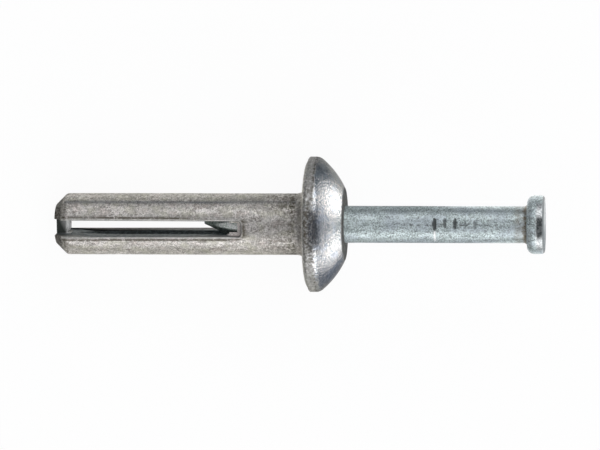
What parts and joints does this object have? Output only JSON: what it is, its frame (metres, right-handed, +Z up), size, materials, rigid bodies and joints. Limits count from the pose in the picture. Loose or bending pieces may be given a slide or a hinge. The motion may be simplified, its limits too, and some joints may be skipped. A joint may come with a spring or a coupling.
{
  "type": "hammer drive anchor",
  "caption": "Die-cast mushroom-head anchor with a split shank, and the drive nail that is hammered through it to spread the legs in a drilled masonry hole.",
  "frame": {"origin": "on the table, under the middle of the part as it lies at rest on the rim of its head and the slot edges at its tip", "axes": "+X runs along the nail towards its head, level with the table; +Z is up; the part's own axis leans up by 8.9 degrees from +X"},
  "size_m": [0.0489, 0.0134, 0.0134],
  "materials": {
    "zinc_casting": "satin",
    "plated_steel": "satin"
  },
  "bodies": {
    "root": {"anchor_body": "zinc_casting", "drive_nail": "plated_steel"}
  },
  "joints": []
}
